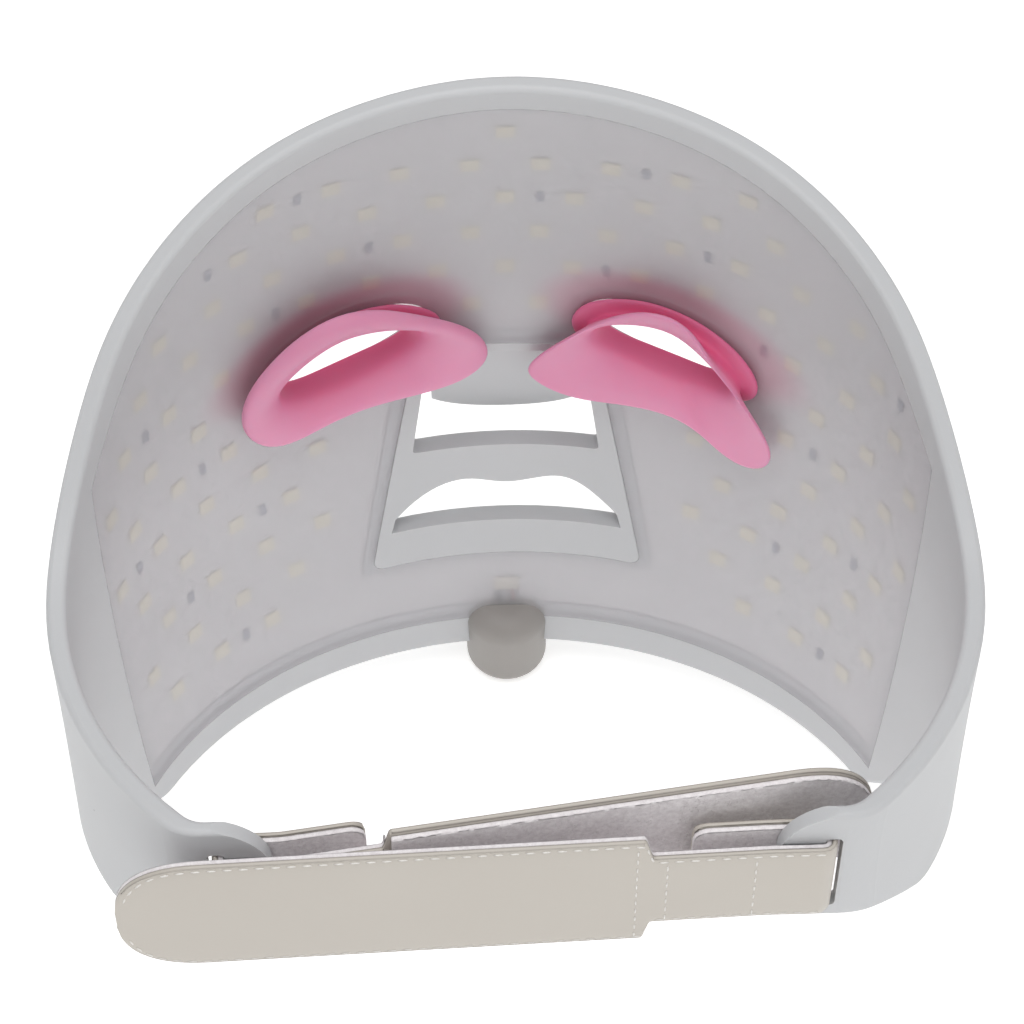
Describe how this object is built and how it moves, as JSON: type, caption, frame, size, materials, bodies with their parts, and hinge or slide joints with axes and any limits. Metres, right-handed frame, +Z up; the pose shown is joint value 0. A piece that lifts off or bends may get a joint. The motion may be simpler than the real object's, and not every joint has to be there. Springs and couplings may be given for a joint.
{
  "type": "light therapy face mask",
  "caption": "Flexible full-face light therapy mask with a lit inner panel, two pull-out eye cups, nose flap and hook-and-loop head straps.",
  "frame": {"origin": "on the inside face of the mask, on the centre line, level with the eyes, where the brow rests", "axes": "+Z up, the mask faces -Y, +X is the wearer's left"},
  "size_m": [0.1988, 0.1603, 0.213],
  "materials": {
    "shell_silicone": "satin light grey silicone",
    "panel_silicone": "milky translucent silicone",
    "flex_board": "white solder mask on polyimide",
    "led_package": "pale yellow phosphor in a white package",
    "resistor_body": "dark ceramic chip",
    "connector_plastic": "off-white nylon",
    "red_wire": "red PVC insulation",
    "black_wire": "black PVC insulation",
    "housing_silicone": "satin grey overmould",
    "socket_plastic": "black nylon",
    "contact_brass": "plated brass",
    "cup_silicone": "soft pink silicone",
    "strap_leather": "smooth warm grey coated fabric",
    "strap_loop": "grey brushed loop fabric"
  },
  "bodies": {
    "mask": {"outer_shell": "shell_silicone", "inner_panel": "panel_silicone", "flex_board": "flex_board", "led_chips": "led_package", "resistors": "resistor_body", "board_connector": "connector_plastic", "red_lead": "red_wire", "black_lead": "black_wire", "socket_housing": "housing_silicone", "socket_insert": "socket_plastic", "socket_contacts": "contact_brass", "outer_strap_anchor_cover": "strap_leather", "outer_strap_anchor_lining": "strap_loop", "inner_strap_anchor_cover": "strap_leather", "inner_strap_anchor_lining": "strap_loop"},
    "left_cup": {"left_eye_cup": "cup_silicone"},
    "right_cup": {"right_eye_cup": "cup_silicone"},
    "outer_strap": {"outer_strap_cover": "strap_leather", "outer_strap_lining": "strap_loop", "outer_strap_fold_cover": "strap_leather", "outer_strap_fold_lining": "strap_loop"},
    "inner_strap": {"inner_strap_cover": "strap_leather", "inner_strap_lining": "strap_loop", "inner_strap_loop": "strap_loop", "inner_strap_fold_cover": "strap_leather", "inner_strap_fold_lining": "strap_loop"}
  },
  "joints": [
    {"name": "outer_strap_swing", "type": "hinge", "parent": "mask", "child": "outer_strap", "pos_m": [-0.04999, 0.14347, -0.0115], "axis": [0, 0, 1], "range_deg": [0, 75]},
    {"name": "inner_strap_swing", "type": "hinge", "parent": "mask", "child": "inner_strap", "pos_m": [0.04999, 0.14347, -0.0115], "axis": [0, 0, 1], "range_deg": [0, 14]},
    {"name": "left_eye_cup_pull", "type": "slide", "parent": "mask", "child": "left_cup", "axis": [-0.3392, 0.9407, 0], "range_m": [0, 0.008]},
    {"name": "right_eye_cup_pull", "type": "slide", "parent": "mask", "child": "right_cup", "axis": [0.3392, 0.9407, 0], "range_m": [0, 0.008]}
  ]
}
